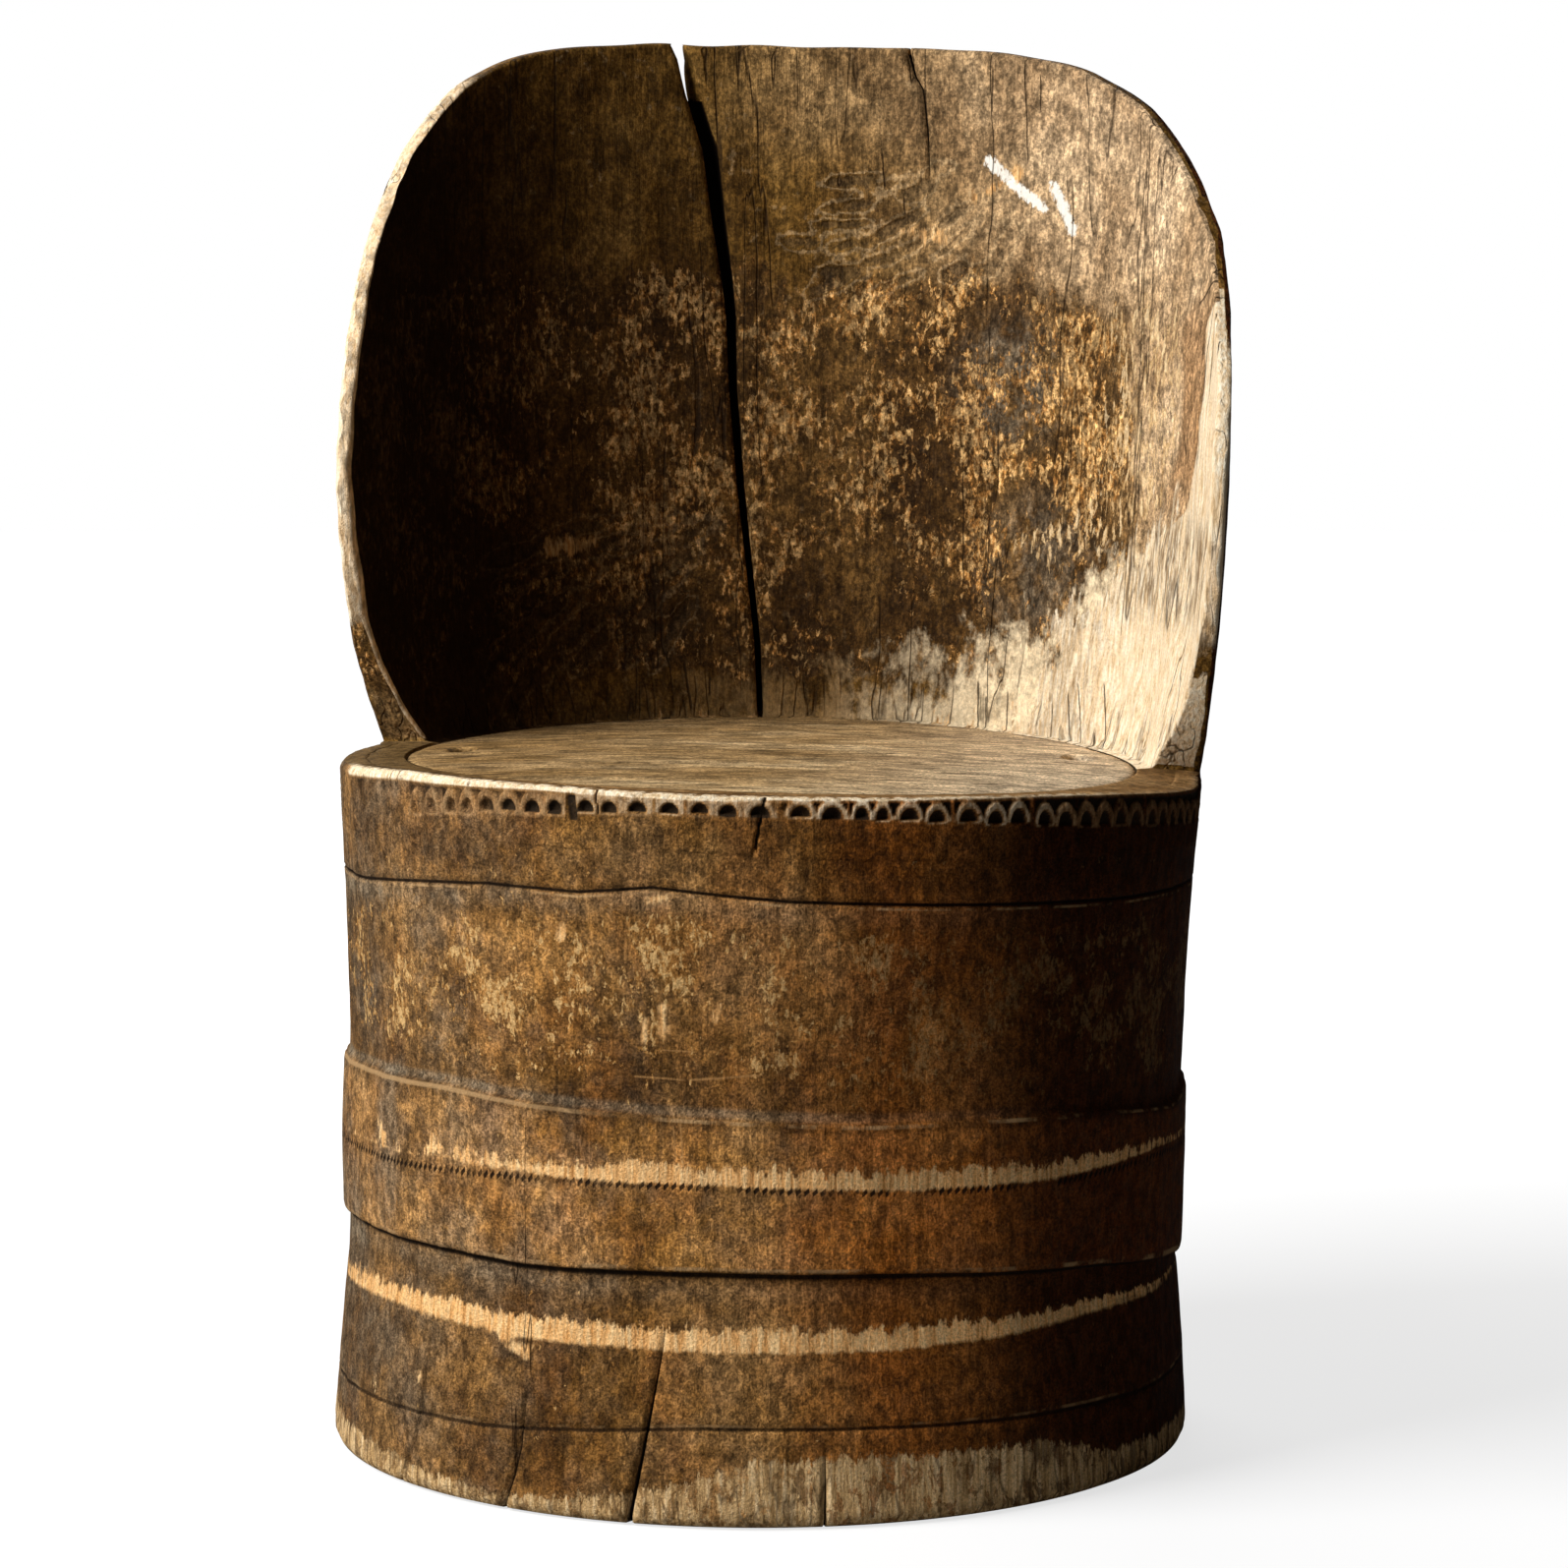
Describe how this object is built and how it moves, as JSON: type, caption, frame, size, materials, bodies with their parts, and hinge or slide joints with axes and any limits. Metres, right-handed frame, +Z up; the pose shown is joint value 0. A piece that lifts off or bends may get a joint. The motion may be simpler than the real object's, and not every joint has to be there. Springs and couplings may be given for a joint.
{
  "type": "log chair",
  "caption": "Chair hewn from one hollowed log, with a concave winged back, carved bands, a scalloped rim and a loose round seat board over a storage hollow.",
  "frame": {"origin": "on the floor, under the middle of the chair's bounding box", "axes": "+Z up, -Y to the front, +X to the sitter's left"},
  "size_m": [0.505, 0.4952, 0.7911],
  "materials": {
    "log_wood": "dark brown aged patina, rubbed back to orange-brown and pale wood at edges and wear strips",
    "seat_wood": "greyish tan worn board, dry, with open grain",
    "batten_wood": "hewn, unfinished, darkened with age",
    "bottom_wood": "riven and hewn, unfinished, dusty",
    "dowel_wood": "whittled, unfinished"
  },
  "bodies": {
    "log": {"log_body": "log_wood", "bottom_board_front": "bottom_wood", "bottom_board_rear": "bottom_wood", "bottom_dowel_left": "dowel_wood", "bottom_dowel_right": "dowel_wood"},
    "seat_lid": {"seat_board": "seat_wood", "seat_batten_left": "batten_wood", "seat_batten_right": "batten_wood"}
  },
  "joints": [
    {"name": "seat_lift", "type": "slide", "parent": "log", "child": "seat_lid", "axis": [0.0175, 0, 0.9998], "range_m": [0, 0.12]}
  ]
}
